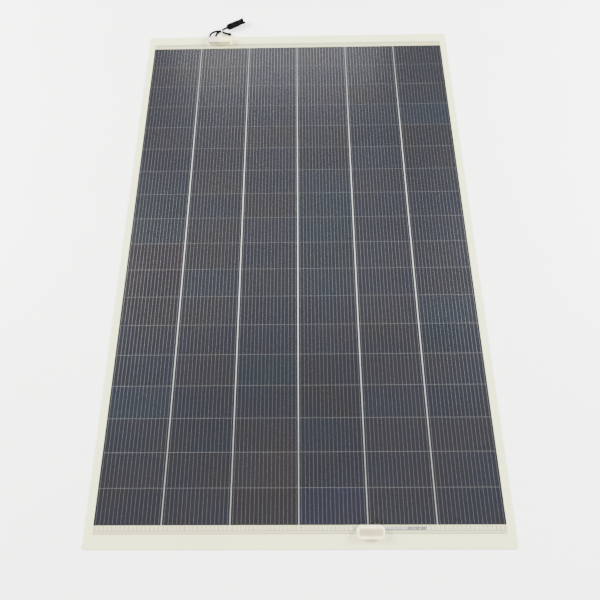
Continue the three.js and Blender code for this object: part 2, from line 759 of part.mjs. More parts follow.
function addConnector() {
  const connector = new THREE.Group();
  connector.position.set(...CONNECTOR_REAR);
  connector.rotation.z = CONNECTOR_YAW;
  part.add(connector);
  add("connector_gland_nut", nutGeometry(), "plastic", connector);
  add("connector_housing", housingGeometry(), "plastic", connector);
  add("connector_clamp_collet", turned(collarOutline(9.3, 15, GLAND_BORE, 6.4)), "plastic", connector);
  add("connector_gland_seal", turned(collarOutline(15.3, 19.5, GLAND_BORE, 6.4)), "rubber", connector);
  const contact = [
    [20.4, 0],
    [20.4, 1.9],
    [34, 1.9],
    [34, 2.6],
    [36, 2.6],
    [36, 1.6],
    [50, 1.6],
    [51, 0.8],
    [51, 0],
  ];
  add("connector_contact", turned(contact, 12), "copper", connector);
  add("connector_o_ring", ringGeometry(RING_PLACE, RING_RADIUS, 0.4), "rubber", connector);
  add("connector_latch_left", latchGeometry(1), "plastic", connector);
  add("connector_latch_right", latchGeometry(-1), "plastic", connector);
}

// ---------------------------------------------------------------- assembly

addLayers();
addStrings();
addBuses();
addCoverStrips();
BUS_LEADS.forEach(addBusLead);
addJunctionBox(FAR_BOX, [NEGATIVE_GLAND_X, POSITIVE_GLAND_X]);
addJunctionBox(NEAR_BOX, []);
addGland("far_box_gland_1", NEGATIVE_GLAND_X);
addGland("far_box_gland_2", POSITIVE_GLAND_X);
add("positive_lead", tubeAlong(POSITIVE_ROUTE, LEAD_DIAMETER, LEAD_SIDES, 24), "rubber");
add("negative_lead", tubeAlong(NEGATIVE_ROUTE, LEAD_DIAMETER, LEAD_SIDES, 28), "rubber");
addEndCap();
addCableTie();
addConnector();

export default part;
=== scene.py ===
"""Looks of the flexible solar sheet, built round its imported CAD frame. Metres, +Z up."""
import json
import math
import random

import bmesh
import bpy
from mathutils import Matrix, Vector


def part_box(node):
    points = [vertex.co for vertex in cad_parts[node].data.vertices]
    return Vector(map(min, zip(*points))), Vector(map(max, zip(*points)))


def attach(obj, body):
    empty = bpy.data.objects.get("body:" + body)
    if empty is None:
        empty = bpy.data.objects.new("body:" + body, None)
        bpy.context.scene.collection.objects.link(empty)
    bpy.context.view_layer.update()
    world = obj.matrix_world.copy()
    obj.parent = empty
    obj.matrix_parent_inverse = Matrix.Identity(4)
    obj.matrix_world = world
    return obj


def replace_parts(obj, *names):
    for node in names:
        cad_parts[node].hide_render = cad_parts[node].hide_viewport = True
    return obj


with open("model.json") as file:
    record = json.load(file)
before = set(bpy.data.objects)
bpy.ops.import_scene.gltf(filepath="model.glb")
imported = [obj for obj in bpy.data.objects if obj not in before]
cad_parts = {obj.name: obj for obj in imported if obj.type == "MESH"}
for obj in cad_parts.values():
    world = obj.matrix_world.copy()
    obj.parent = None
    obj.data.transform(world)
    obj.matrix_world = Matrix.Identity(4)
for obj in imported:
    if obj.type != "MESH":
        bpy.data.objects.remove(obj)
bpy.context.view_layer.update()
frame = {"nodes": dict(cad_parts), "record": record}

MM = 0.001
nodes = frame["nodes"]
first_cells, last_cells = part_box("cell_string_1"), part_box("cell_string_6")
MATRIX_HALF = (max(abs(c.x) for c in (*first_cells, *last_cells)), max(abs(c.y) for c in first_cells))
BUS_ZONE_HALF = abs(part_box("near_bus_cover_strip")[0].y)
STRING_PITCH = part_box("cell_string_2")[0].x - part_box("cell_string_1")[0].x
LEAD_STAIN = 48 * MM
STRIP_LINE = 1.3 * MM
STRING_GAP_HALF = 1.8 * MM
UP = Vector((0, 0, 1))

# ------------------------------------------------------------------ camera

CAMERA_PLACE = Vector((0.0198, -0.5667, 1.2069))
CAMERA_TARGET = Vector((0.0063, -0.1973, 0.0))
CAMERA_ROLL = math.radians(-2.49)
CAMERA_LENS = 24.14


def make_camera():
    forward = (CAMERA_TARGET - CAMERA_PLACE).normalized()
    level = forward.cross(UP).normalized()
    upright = level.cross(forward)
    right = math.cos(CAMERA_ROLL) * level + math.sin(CAMERA_ROLL) * upright
    up = math.cos(CAMERA_ROLL) * upright - math.sin(CAMERA_ROLL) * level
    data = bpy.data.cameras.new("camera")
    data.lens = CAMERA_LENS
    data.sensor_width = 36
    data.clip_start = 0.01
    camera = bpy.data.objects.new("camera", data)
    turn = Matrix((right, up, -forward)).transposed().to_4x4()
    camera.matrix_world = Matrix.Translation(CAMERA_PLACE) @ turn
    bpy.context.scene.collection.objects.link(camera)
    bpy.context.scene.camera = camera


make_camera()

# ------------------------------------------------------------------ mesh helpers


def link_mesh(name, mesh, material, body, smooth=True):
    """A new piece of the object from a finished mesh."""
    piece = bpy.data.objects.new(name, mesh)
    bpy.context.scene.collection.objects.link(piece)
    mesh.materials.append(material)
    if smooth:
        mesh.shade_smooth()
        mesh.set_sharp_from_angle(angle=math.radians(38))
    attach(piece, body)
    return piece


def mesh_from(name, vertices, faces):
    mesh = bpy.data.meshes.new(name)
    mesh.from_pydata(vertices, [], faces)
    mesh.validate()
    mesh.update()
    return mesh


def smooth_path(points, per_gap):
    """Points along a centripetal Catmull-Rom curve through the given points."""
    points = [Vector(p) for p in points]
    ends = [2 * points[0] - points[1], *points, 2 * points[-1] - points[-2]]
    path = []
    for i in range(len(points) - 1):
        p0, p1, p2, p3 = ends[i : i + 4]
        knots = [0.0]
        for a, b in ((p0, p1), (p1, p2), (p2, p3)):
            knots.append(knots[-1] + math.sqrt((b - a).length))
        t0, t1, t2, t3 = knots
        for step in range(per_gap):
            t = t1 + (t2 - t1) * step / per_gap
            a1 = p0.lerp(p1, (t - t0) / (t1 - t0))
            a2 = p1.lerp(p2, (t - t1) / (t2 - t1))
            a3 = p2.lerp(p3, (t - t2) / (t3 - t2))
            b1 = a1.lerp(a2, (t - t0) / (t2 - t0))
            b2 = a2.lerp(a3, (t - t1) / (t3 - t1))
            path.append(b1.lerp(b2, (t - t1) / (t2 - t1)))
    path.append(points[-1])
    return path


def tube_mesh(name, path, radius, sides=20):
    """A closed round tube along a path, with flat ends."""
    vertices, faces = [], []
    side = None
    for i, point in enumerate(path):
        before = path[max(i - 1, 0)]
        after = path[min(i + 1, len(path) - 1)]
        along = (after - before).normalized()
        if side is None:
            side = along.cross(UP).normalized()
        side = (side - along * side.dot(along)).normalized()
        other = along.cross(side)
        for k in range(sides):
            angle = 2 * math.pi * k / sides
            vertices.append(point + radius * (math.cos(angle) * side + math.sin(angle) * other))
    for i in range(len(path) - 1):
        for k in range(sides):
            low = i * sides + k
            low_next = i * sides + (k + 1) % sides
            faces.append((low, low_next, low_next + sides, low + sides))
    faces.append(tuple(range(sides))[::-1])
    last = (len(path) - 1) * sides
    faces.append(tuple(range(last, last + sides)))
    return mesh_from(name, vertices, faces)


def loft_mesh(name, rings, capped=True):
    """Joins rings of equal point counts; the first and last ring are capped, or joined to each other."""
    count = len(rings[0])
    vertices = [point for ring in rings for point in ring]
    faces = []
    pairs = list(zip(range(len(rings) - 1), range(1, len(rings))))
    if not capped:
        pairs.append((len(rings) - 1, 0))
    for a, b in pairs:
        for k in range(count):
            nxt = (k + 1) % count
            faces.append((a * count + k, a * count + nxt, b * count + nxt, b * count + k))
    if capped:
        faces.append(tuple(range(count))[::-1])
        last = (len(rings) - 1) * count
        faces.append(tuple(range(last, last + count)))
    return mesh_from(name, vertices, faces)


def softened(outline, round, steps=3, closed=True):
    """An outline of (along, out) pairs with each corner replaced by a short curve."""
    points = [Vector(point) for point in outline]
    count = len(points)
    result = []
    for i, corner in enumerate(points):
        if not closed and i in (0, count - 1):
            result.append(corner)
            continue
        before = points[i - 1] - corner
        after = points[(i + 1) % count] - corner
        reach = min(round, 0.45 * before.length, 0.45 * after.length)
        start = corner + before.normalized() * reach
        end = corner + after.normalized() * reach
        for step in range(steps + 1):
            t = step / steps
            result.append(start.lerp(corner, t).lerp(corner.lerp(end, t), t))
    return result


def turned_mesh(name, outline, place, sides=64, capped=False, reshape=None):
    """A turned piece about its own +X, from (along, radius) pairs in millimetres, moved to its place."""
    rings = []
    for along, radius in outline:
        ring = []
        for k in range(sides):
            angle = 2 * math.pi * k / sides
            y, z = radius * math.cos(angle), radius * math.sin(angle)
            if reshape:
                y, z = reshape(along, y, z, angle)
            ring.append(place @ (Vector((along, y, z)) * MM))
        rings.append(ring)
    return loft_mesh(name, rings, capped)


def finished(name, work):
    """The mesh of a bmesh that is done with."""
    mesh = bpy.data.meshes.new(name)
    work.to_mesh(mesh)
    work.free()
    return mesh


def extruded_mesh(name, outline, half_depth, place, round):
    """A flat outline in X and Y, thickened both ways along Z, with softened edges."""
    work = bmesh.new()
    corners = [work.verts.new((x, y, -half_depth)) for x, y in outline]
    face = work.faces.new(corners)
    raised = bmesh.ops.extrude_face_region(work, geom=[face])["geom"]
    tops = [v for v in raised if isinstance(v, bmesh.types.BMVert)]
    bmesh.ops.translate(work, vec=(0, 0, 2 * half_depth), verts=tops)
    bmesh.ops.recalc_face_normals(work, faces=work.faces)
    bmesh.ops.bevel(work, geom=work.edges[:], offset=round, segments=3, affect="EDGES")
    bmesh.ops.transform(work, matrix=place @ Matrix.Scale(MM, 4), verts=work.verts)
    return finished(name, work)


def block_mesh(name, low, high, round):
    """A block between two corners, with softened edges."""
    work = bmesh.new()
    middle = (Vector(low) + Vector(high)) / 2
    place = Matrix.LocRotScale(middle, None, Vector(high) - Vector(low))
    bmesh.ops.create_cube(work, size=1, matrix=place)
    bmesh.ops.bevel(work, geom=work.edges[:], offset=round, segments=3, affect="EDGES")
    return finished(name, work)


def joined(name, meshes):
    """Several closed meshes as one."""
    work = bmesh.new()
    for mesh in meshes:
        work.from_mesh(mesh)
        bpy.data.meshes.remove(mesh)
    return finished(name, work)


def rounded_corners(low, high, radii, steps):
    """Pairs round a rectangle with an arc at each corner, counter-clockwise from the high corner."""
    points = []
    for quarter, (su, sv) in enumerate(((1, 1), (-1, 1), (-1, -1), (1, -1))):
        radius = radii[quarter]
        cu = (high[0] if su > 0 else low[0]) - su * radius
        cv = (high[1] if sv > 0 else low[1]) - sv * radius
        for step in range(steps + 1):
            angle = math.pi / 2 * (quarter + step / steps)
            points.append((cu + radius * math.cos(angle), cv + radius * math.sin(angle)))
    return points


# ------------------------------------------------------------------ materials


class Paint:
    """A Principled material with its node tree at hand."""

    def __init__(self, name, colour, roughness, **constants):
        self.material = bpy.data.materials.new(name)
        self.material.use_nodes = True
        self.tree = self.material.node_tree
        self.shader = self.tree.nodes["Principled BSDF"]
        self.set("Base Color", (*colour, 1))
        self.set("Roughness", roughness)
        for socket, value in constants.items():
            self.set(socket.replace("_", " "), value)
        self.coords = self.node("ShaderNodeTexCoord").outputs["Object"]

    def set(self, socket, value):
        self.shader.inputs[socket].default_value = value

    def node(self, kind, **settings):
        made = self.tree.nodes.new(kind)
        for key, value in settings.items():
            setattr(made, key, value)
        return made

    def link(self, source, target):
        self.tree.links.new(source, target)

    def noise(self, scale, detail=3.0, stretch=None):
        """A noise value from 0 to 1 in object space; scale is in features per metre."""
        coords = self.coords
        if stretch:
            mapping = self.node("ShaderNodeMapping")
            mapping.inputs["Scale"].default_value = stretch
            self.link(coords, mapping.inputs["Vector"])
            coords = mapping.outputs["Vector"]
        texture = self.node("ShaderNodeTexNoise")
        texture.inputs["Scale"].default_value = scale
        texture.inputs["Detail"].default_value = detail
        self.link(coords, texture.inputs["Vector"])
        return texture.outputs["Fac"]

    def spread(self, value, low, high, span=(0.3, 0.7)):
        """Maps a texture value onto low to high."""
        mapped = self.node("ShaderNodeMapRange")
        for key, number in zip(("From Min", "From Max", "To Min", "To Max"), (*span, low, high)):
            mapped.inputs[key].default_value = number
        self.link(value, mapped.inputs["Value"])
        return mapped.outputs["Result"]

    def sum(self, kind, first, second=None):
        """One arithmetic step on sockets or numbers."""
        made = self.node("ShaderNodeMath", operation=kind)
        for value, socket in zip((first, second), made.inputs):
            if isinstance(value, bpy.types.NodeSocket):
                self.link(value, socket)
            elif value is not None:
                socket.default_value = value
        return made.outputs[0]

    def band(self, axis, middle, half, soft=0.0002):
        """1 within half of middle along an axis of object space, fading to 0 over soft."""
        split = self.node("ShaderNodeSeparateXYZ")
        self.link(self.coords, split.inputs[0])
        away = self.sum("ABSOLUTE", self.sum("SUBTRACT", split.outputs[axis], middle))
        return self.spread(away, 1.0, 0.0, (half, half + soft))

    def field(self, half_x, half_y):
        """1 inside the upright rectangle of these half sizes about the origin."""
        return self.sum("MULTIPLY", self.band("X", 0, half_x), self.band("Y", 0, half_y))

    def mix(self, factor, first, second, mode="MIX"):
        """Mixes two colours; each is a socket or an RGB triple."""
        mixer = self.node("ShaderNodeMix", data_type="RGBA", blend_type=mode)
        for value, socket in ((factor, 0), (first, 6), (second, 7)):
            if isinstance(value, bpy.types.NodeSocket):
                self.link(value, mixer.inputs[socket])
            elif socket == 0:
                mixer.inputs[0].default_value = value
            else:
                mixer.inputs[socket].default_value = (*value, 1)
        return mixer.outputs[2]

    def colour(self, source):
        self.link(source, self.shader.inputs["Base Color"])
        return self

    def rough(self, source):
        self.link(source, self.shader.inputs["Roughness"])
        return self

    def bump(self, height, distance, strength=1.0):
        """Adds a bump of the given depth in metres, on top of any bump already there."""
        made = self.node("ShaderNodeBump")
        made.inputs["Distance"].default_value = distance
        made.inputs["Strength"].default_value = strength
        self.link(height, made.inputs["Height"])
        normal = self.shader.inputs["Normal"]
        if normal.links:
            self.link(normal.links[0].from_socket, made.inputs["Normal"])
        self.link(made.outputs["Normal"], normal)
        return self


def laminate_paint():
    """Cream glass-fibre board: a crossed weave and faint clouding, with painted shade round and between the
    cells and painted light along the middle of the string gaps.
    """
    paint = Paint("laminate", (0.70, 0.72, 0.42), 0.42, IOR=1.5, Coat_Weight=0.35, Coat_Roughness=0.2)
    warp = paint.noise(900, 1.0, (1, 0.12, 1))
    weft = paint.noise(900, 1.0, (0.12, 1, 1))
    clouds = paint.noise(5, 3.0)
    base = paint.mix(paint.spread(clouds, 0, 1), (0.69, 0.70, 0.36), (0.73, 0.73, 0.41))
    threads = paint.mix(0.5, warp, weft)
    woven = paint.mix(paint.spread(threads, 0.0, 0.12), base, (0.58, 0.59, 0.31))
    # Painted shade: the board over the bus zone round the cells is darkened.
    bus_zone = paint.field(MATRIX_HALF[0], BUS_ZONE_HALF)
    shaded = paint.mix(bus_zone, woven, paint.mix(1.0, woven, (0.68, 0.67, 0.66), "MULTIPLY"))
    # Painted shade: the board seen between the cells is painted far darker than the margin, as if in the
    # cells' shade.
    string_gaps = 0.0
    for step in (-2, -1, 0, 1, 2):
        gap = paint.band("X", step * STRING_PITCH, STRING_GAP_HALF, 0.4 * MM)
        string_gaps = paint.sum("MAXIMUM", string_gaps, gap)
    # Painted light: the gaps between strings are painted lighter along the middle of the sheet.
    painted_light_middle = paint.band("Y", 0.03, 0.22, 0.45)
    between_strings = paint.mix(painted_light_middle, (0.16, 0.165, 0.148), (0.42, 0.43, 0.40))
    between_cells = paint.mix(string_gaps, (0.068, 0.070, 0.064), between_strings)
    paint.colour(paint.mix(paint.field(*MATRIX_HALF), shaded, between_cells))
    paint.rough(paint.spread(clouds, 0.38, 0.48))
    return paint.bump(threads, 0.00008, 0.5).material


def strip_paint():
    """Pale insulating strip over the bus ribbons, with a darker line along both of its edges."""
    paint = Paint("cover_strip", (0.42, 0.40, 0.235), 0.5)
    paper = paint.noise(700, 3.0, (0.2, 1, 1))
    lines = 0.0
    for node in ("near_bus_cover_strip", "far_bus_cover_strip"):
        low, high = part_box(node)
        for edge in (low.y, high.y):
            lines = paint.sum("MAXIMUM", lines, paint.band("Y", edge, STRIP_LINE, 0.5 * MM))
    face = paint.mix(paint.spread(paper, 0, 1), (0.39, 0.375, 0.215), (0.45, 0.435, 0.26))
    paint.colour(paint.mix(lines, face, (0.26, 0.235, 0.155)))
    paint.rough(paint.spread(paper, 0.42, 0.6))
    return paint.bump(paper, 0.00005, 0.4).material


def box_paint():
    """Ivory moulded plastic: deeper in the near lid's panel, yellower at one end of the far box."""
    paint = Paint("box", (0.62, 0.56, 0.36), 0.3, Coat_Weight=0.5, Coat_Roughness=0.12,
                  Subsurface_Weight=0.12, Subsurface_Radius=(1.0, 0.9, 0.7), Subsurface_Scale=0.003)
    near_low, near_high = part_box("near_box_base")
    far_low, far_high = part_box("far_box_base")
    near = (near_low + near_high) / 2
    far = (far_low + far_high) / 2
    clouds = paint.noise(60, 3.0)
    lumps = paint.noise(190, 2.0)
    haze = paint.noise(45, 2.0)
    rim = paint.mix(paint.spread(clouds, 0, 1), (0.62, 0.56, 0.31), (0.70, 0.64, 0.37))
    deep = paint.mix(paint.spread(haze, 0, 1), (0.29, 0.245, 0.135), (0.35, 0.30, 0.17))
    panel_x = paint.band("X", near.x, near_high.x - near.x - 8 * MM, 5 * MM)
    panel_y = paint.band("Y", near.y + 1.5 * MM, near_high.y - near.y - 9 * MM, 5 * MM)
    shade = paint.mix(paint.sum("MULTIPLY", panel_x, panel_y), rim, deep)
    half = far_high.x - far.x
    grey_end = paint.band("X", far_low.x, 0.75 * half, 0.4 * half)
    shade = paint.mix(grey_end, shade, (0.42, 0.395, 0.30))
    glossy = paint.mix(paint.spread(lumps, 0, 1), (0.60, 0.56, 0.21), (0.74, 0.71, 0.30))
    yellow_end = paint.band("X", far_high.x - 0.35 * half, 0.45 * half, 0.3 * half)
    paint.colour(paint.mix(yellow_end, shade, glossy))
    paint.rough(paint.spread(clouds, 0.24, 0.36))
    paint.bump(paint.noise(1200, 2.0), 0.00003, 0.5)
    return paint.bump(lumps, 0.0001, 0.3).material


def covered_lead_paint():
    """A flat lead seen through the resin: pale grey, with painted shade along its lower edge and its far end
    stained dark.
    """
    low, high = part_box("near_box_bus_lead_right")
    paint = Paint("covered_lead", (0.30, 0.30, 0.28), 0.5, Metallic=0.25)
    streaks = paint.noise(420, 3.0, (0.15, 1, 1))
    face = paint.mix(paint.spread(streaks, 0, 1), (0.28, 0.28, 0.26), (0.36, 0.36, 0.33))
    stain = paint.band("X", high.x, LEAD_STAIN, 6 * MM)
    blots = paint.sum("MULTIPLY", stain, paint.spread(paint.noise(160, 3.0), 0.0, 1.0, (0.42, 0.5)))
    stained = paint.mix(blots, face, (0.13, 0.13, 0.12))
    # Painted shade: a dark band along the lead's lower edge.
    paint.colour(paint.mix(paint.band("Y", low.y, 1.2 * MM, 0.4 * MM), stained, (0.10, 0.10, 0.09)))
    paint.rough(paint.spread(streaks, 0.42, 0.58))
    return paint.bump(streaks, 0.00005, 0.4).material


def film_paint(name, alpha, roughness):
    """A clear layer with a fine embossed texture."""
    paint = Paint(name, (0.02, 0.02, 0.02), roughness, IOR=1.42, Alpha=alpha)
    paint.material.surface_render_method = "BLENDED"
    grain = paint.noise(1400, 2.0)
    paint.rough(paint.spread(grain, roughness - 0.04, roughness + 0.04))
    return paint.bump(grain, 0.00003, 0.4).material


def cell_paint():
    """Dark silicon under clear resin: each cell has its own tint, with fine finger lines."""
    paint = Paint("cell", (0.03, 0.034, 0.045), 0.4, IOR=1.5, Specular_IOR_Level=0.05,
                  Coat_Weight=1.0, Coat_Roughness=0.2, Coat_IOR=1.5)
    tint = paint.node("ShaderNodeAttribute", attribute_name="cell_tint").outputs["Color"]
    clouds = paint.noise(9, 3.0)
    sheen = paint.noise(3.2, 2.0, (1.0, 1.6, 1.0))
    cool = paint.mix(1.0, tint, (0.86, 0.98, 1.16), "MULTIPLY")
    warm = paint.mix(1.0, tint, (1.14, 1.0, 0.88), "MULTIPLY")
    patchy = paint.mix(paint.spread(clouds, 0, 1), cool, warm)
    fingers = paint.node("ShaderNodeTexWave", wave_type="BANDS", bands_direction="Y")
    fingers.inputs["Scale"].default_value = 240
    paint.link(paint.coords, fingers.inputs["Vector"])
    lines = paint.spread(fingers.outputs["Fac"], 0.0, 0.22, (0.93, 1.0))
    paint.colour(paint.mix(lines, patchy, (0.06, 0.06, 0.065)))
    paint.rough(paint.spread(sheen, 0.26, 0.42))
    ripple = paint.noise(26, 2.0, (1.0, 1.3, 1.0))
    return paint.bump(ripple, 0.0006, 0.25).material


def metal_paint(name, colour, roughness, grain_scale=700):
    paint = Paint(name, colour, roughness, Metallic=1.0)
    grain = paint.noise(grain_scale, 3.0, (0.1, 1, 1))
    darker = tuple(0.72 * c for c in colour)
    paint.colour(paint.mix(paint.spread(grain, 0, 0.6), colour, darker))
    paint.rough(paint.spread(grain, roughness - 0.07, roughness + 0.09))
    return paint.bump(grain, 0.00003, 0.4).material


def plastic_paint(name, colour, roughness, texture=1600, depth=0.00003, variation=0.12, **constants):
    """Moulded plastic or rubber: faint tone variation and a fine moulded grain."""
    paint = Paint(name, colour, roughness, **constants)
    clouds = paint.noise(60, 3.0)
    grain = paint.noise(texture, 2.0)
    low = tuple(c * (1 - variation) for c in colour)
    high = tuple(min(1.0, c * (1 + variation)) for c in colour)
    paint.colour(paint.mix(paint.spread(clouds, 0, 1), low, high))
    paint.rough(paint.spread(clouds, roughness - 0.05, roughness + 0.06))
    return paint.bump(grain, depth, 0.5).material


LAMINATE = laminate_paint()
PAINTS = {
    "laminate": LAMINATE,
    "encapsulant": LAMINATE,
    "front_film": film_paint("front_film", 0.05, 0.22),
    "cell": cell_paint(),
    "ribbon": metal_paint("ribbon", (0.62, 0.63, 0.64), 0.38),
    "wire": metal_paint("wire", (0.60, 0.61, 0.63), 0.24, 2500),
    "cover_strip": strip_paint(),
    "covered_lead": covered_lead_paint(),
    "box": box_paint(),
    "covered_ribbon": plastic_paint("covered_ribbon", (0.60, 0.61, 0.37), 0.45, 700),
    "solder": plastic_paint("solder", (0.16, 0.16, 0.15), 0.45, 500, Metallic=0.4),
    "sealant": plastic_paint("sealant", (0.62, 0.60, 0.42), 0.3, 260, 0.0002, 0.08, Coat_Weight=0.4),
    "seal": plastic_paint("seal", (0.003, 0.003, 0.003), 0.65, Specular_IOR_Level=0.1),
    "pad": plastic_paint("pad", (0.06, 0.06, 0.06), 0.9, 700, 0.0002),
    "potting": plastic_paint("potting", (0.70, 0.67, 0.56), 0.25, 300, Coat_Weight=0.5),
    "copper": metal_paint("copper", (0.78, 0.62, 0.40), 0.28),
    "diode": plastic_paint("diode", (0.02, 0.02, 0.024), 0.35),
    "gland": plastic_paint("gland", (0.0012, 0.0012, 0.0013), 0.5, Specular_IOR_Level=0.05),
    "lead": plastic_paint("lead", (0.0012, 0.0012, 0.0013), 0.36, 2200, Specular_IOR_Level=0.05),
    "end_cap": plastic_paint("end_cap", (0.0012, 0.0012, 0.0013), 0.45, Specular_IOR_Level=0.05),
    "tie": plastic_paint("tie", (0.80, 0.84, 0.56), 0.35, 900, Subsurface_Weight=0.3),
    "connector": plastic_paint("connector", (0.001, 0.001, 0.0011), 0.4, 1500, Specular_IOR_Level=0.04),
}


def paint_frame():
    """Gives every CAD node its finish from its slot."""
    for subpart in frame["record"]["subparts"]:
        node = nodes[subpart["node"]]
        node.data.materials.clear()
        node.data.materials.append(PAINTS[subpart["material_slot"]])
        node.data.shade_smooth()
        node.data.set_sharp_from_angle(angle=math.radians(30))
    nodes["near_box_bus_lead_right"].data.materials[0] = PAINTS["covered_lead"]
    for name in ("far_return_ribbon", "far_box_bus_lead"):
        nodes[name].data.materials[0] = PAINTS["covered_ribbon"]


paint_frame()

# ------------------------------------------------------------------ junction boxes

CORNER_STEPS = 10
LIP_OUTER = 2.5 * MM
LIP_INNER = 3.7 * MM
SEAL_POCKET = 0.9 * MM
LID_CLEARANCE = 0.1 * MM
LID_ROUND = 1.8 * MM
PANEL_STEP = 0.6 * MM


class BoxShape:
    """A junction box's outline and levels, from its CAD nodes and its two corner radii."""

    def __init__(self, name, low_corner, high_corner, tabs):
        self.name = name
        self.low, self.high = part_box(name + "_base")
        self.corners = (high_corner, high_corner, low_corner, low_corner)
        self.tabs = tabs
        self.rim = self.high.z
        self.lip_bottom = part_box(name + "_lid")[0].z
        self.lid_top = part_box(name + "_lid")[1].z
        self.pocket_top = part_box(name + "_lid_seal")[1].z + 0.05 * MM

    def ring(self, inset, z, smallest=0.8 * MM):
        """The outline moved inwards, at one level, counter-clockwise seen from above."""
        low = (self.low.x + inset, self.low.y + inset)
        high = (self.high.x - inset, self.high.y - inset)
        radii = [max(corner - inset, smallest) for corner in self.corners]
        return [Vector((x, y, z)) for x, y in rounded_corners(low, high, radii, CORNER_STEPS)]

    def tab_places(self):
        """Each tab's place along the box, its side, and the wall face that it hangs on."""
        width = self.high.x - self.low.x
        middle = (self.low.x + self.high.x) / 2
        for share, side in self.tabs:
            yield middle + share * width, side, self.high.y if side > 0 else self.low.y


BOXES = [
    # Tabs are (share of the width from the middle, side of the box).
    BoxShape("far_box", 12 * MM, 5 * MM, [(-0.27, -1), (0.27, -1), (0.27, 1)]),
    BoxShape("near_box", 12 * MM, 12 * MM, [(-0.2, -1), (0.2, -1), (-0.2, 1), (0.2, 1)]),
]


def lid_mesh(box):
    """A shallow lid: a lip inside the wall, a rolled edge, and a recessed, slightly crowned panel."""
    bottom = box.rim + LID_CLEARANCE
    levels = [
        (LIP_INNER, box.pocket_top),
        (LIP_INNER, box.lip_bottom),
        (LIP_OUTER, box.lip_bottom),
        (LIP_OUTER, box.pocket_top),
        (SEAL_POCKET, box.pocket_top),
        (SEAL_POCKET, bottom),
        (0.2 * MM, bottom),
        (0.0, bottom + 0.2 * MM),
    ]
    for step in range(7):
        angle = math.pi / 2 * step / 6
        inset = LID_ROUND * (1 - math.cos(angle))
        levels.append((inset, box.lid_top - LID_ROUND * (1 - math.sin(angle))))
    panel = box.lid_top - PANEL_STEP
    levels.append((3.6 * MM, box.lid_top))
    for step in range(1, 5):
        t = step / 5
        drop = PANEL_STEP * (3 * t * t - 2 * t * t * t)
        levels.append(((3.6 + 1.4 * t) * MM, box.lid_top - drop))
    levels += [(5.0 * MM, panel), (8.0 * MM, panel + 0.2 * MM), (11.5 * MM, panel + 0.3 * MM)]
    return loft_mesh(box.name + "_lid_shell", [box.ring(*level) for level in levels])


def tab_meshes(box):
    """The lid's snap tabs: each hangs down outside the wall, from a shoulder that meets the lid."""
    meshes = []
    shoulder = box.rim + LID_CLEARANCE
    for x, side, wall in box.tab_places():
        for near, far, low, high in (
            (-0.5, 1.2, shoulder + 0.3 * MM, shoulder + 1.8 * MM),
            (0.15, 1.2, box.rim - 4.6 * MM, shoulder + 1.7 * MM),
        ):
            ys = sorted((wall + side * near * MM, wall + side * far * MM))
            corners = ((x - 4 * MM, ys[0], low), (x + 4 * MM, ys[1], high))
            meshes.append(block_mesh("tab", *corners, 0.25 * MM))
    return meshes


def catch_mesh(box):
    """A small ledge on the wall below each tab, which the tab snaps over."""
    ledges = []
    for x, side, wall in box.tab_places():
        ys = sorted((wall - side * 0.4 * MM, wall + side * 0.9 * MM))
        corners = ((x - 3 * MM, ys[0], box.rim - 6.0 * MM), (x + 3 * MM, ys[1], box.rim - 4.9 * MM))
        ledges.append(block_mesh("ledge", *corners, 0.2 * MM))
    return joined(box.name + "_catches", ledges)


def sealant_mesh(box, rng):
    """An uneven bead of sealant squeezed out round the foot of the box."""
    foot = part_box("front_sheet")[1].z + 0.03 * MM
    outline = box.ring(0.0, 0.0)
    path = []
    for a, b in zip(outline, outline[1:] + outline[:1]):
        steps = max(1, round((b - a).length / (2.5 * MM)))
        path += [a.lerp(b, step / steps) for step in range(steps)]
    middle = Vector(((box.low.x + box.high.x) / 2, (box.low.y + box.high.y) / 2, 0))
    bulge = [rng.uniform(0.8, 1.25) for _ in path]
    rings = []
    for i, point in enumerate(path):
        tangent = (path[(i + 1) % len(path)] - path[i - 1]).normalized()
        out = Vector((tangent.y, -tangent.x, 0))
        if out.dot(point - middle) < 0:
            out = -out
        size = 1.3 * MM * (bulge[i - 1] + bulge[i] + bulge[(i + 1) % len(path)]) / 3
        section = []
        for step in range(7):
            angle = math.pi / 2 * step / 6
            section.append(point + out * size * math.cos(angle) + UP * (foot + size * math.sin(angle)))
        inner = point - out * 0.3 * MM
        section.append(inner + UP * (foot + size))
        section.append(inner + UP * foot)
        rings.append(section)
    return loft_mesh(box.name + "_sealant_bead", rings, capped=False)


def make_boxes():
    rng = random.Random(5)
    for box in BOXES:
        lid_body = box.name.replace("_box", "_lid")
        shell = joined(box.name + "_lid_shell", [lid_mesh(box), *tab_meshes(box)])
        lid = link_mesh(box.name + "_lid_shell", shell, PAINTS["box"], lid_body)
        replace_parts(lid, box.name + "_lid")
        link_mesh(box.name + "_catches", catch_mesh(box), PAINTS["box"], "panel")
        bead = sealant_mesh(box, rng)
        link_mesh(box.name + "_sealant_bead", bead, PAINTS["sealant"], "panel")


make_boxes()

# ------------------------------------------------------------------ glands, end cap and tie

def looking_along(place, direction):
    """A place whose +X points along a direction and whose +Z stays as upright as it can."""
    along = Vector(direction).normalized()
    across = UP.cross(along).normalized()
    turn = Matrix((along, across, along.cross(across))).transposed().to_4x4()
    return Matrix.Translation(place) @ turn


GLAND_OUTLINE = [
    # (mm out from the wall, radius): plug, collar, then three rings on a taper.
    (-2.2, 3.9), (-2.2, 4.3), (0.3, 4.3), (0.3, 5.6), (2.4, 5.6), (2.8, 4.9), (3.6, 4.9), (3.8, 5.4),
    (4.9, 5.35), (5.1, 4.75), (5.9, 4.75), (6.1, 5.2), (7.0, 5.15), (7.2, 4.6), (7.8, 4.6), (8.0, 5.0),
    (10.0, 4.6), (10.0, 3.9),
]


